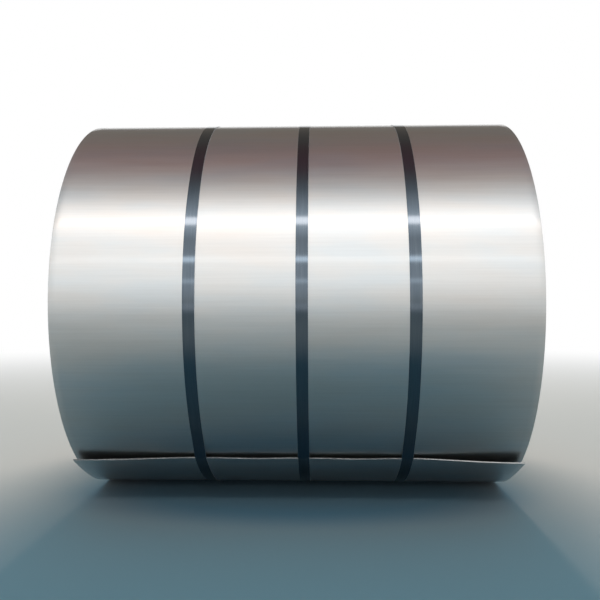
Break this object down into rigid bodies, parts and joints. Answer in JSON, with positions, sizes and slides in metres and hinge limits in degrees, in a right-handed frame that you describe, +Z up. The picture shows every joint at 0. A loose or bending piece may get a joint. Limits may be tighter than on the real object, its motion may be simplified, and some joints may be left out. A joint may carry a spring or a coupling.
{
  "type": "steel coil",
  "caption": "Galvanised steel strip wound into a heavy coil with an open bore, lying on its side, its sprung tail end held down by steel straps with crimped seals.",
  "frame": {"origin": "on the floor, under the middle of the bore", "axes": "+X along the bore to the right as seen from the front, -Y to the front, where the strip's tail ends, +Z up"},
  "size_m": [1.2516, 1.1483, 1.1504],
  "materials": {
    "strip": "galvanised, smooth and bright",
    "strapping": "blued and waxed, dark blue-black",
    "seal": "blued, dark"
  },
  "bodies": {
    "root": {"coil": "strip", "strap_left": "strapping", "strap_middle": "strapping", "strap_right": "strapping", "seal_left": "seal", "seal_middle": "seal", "seal_right": "seal"}
  },
  "joints": []
}
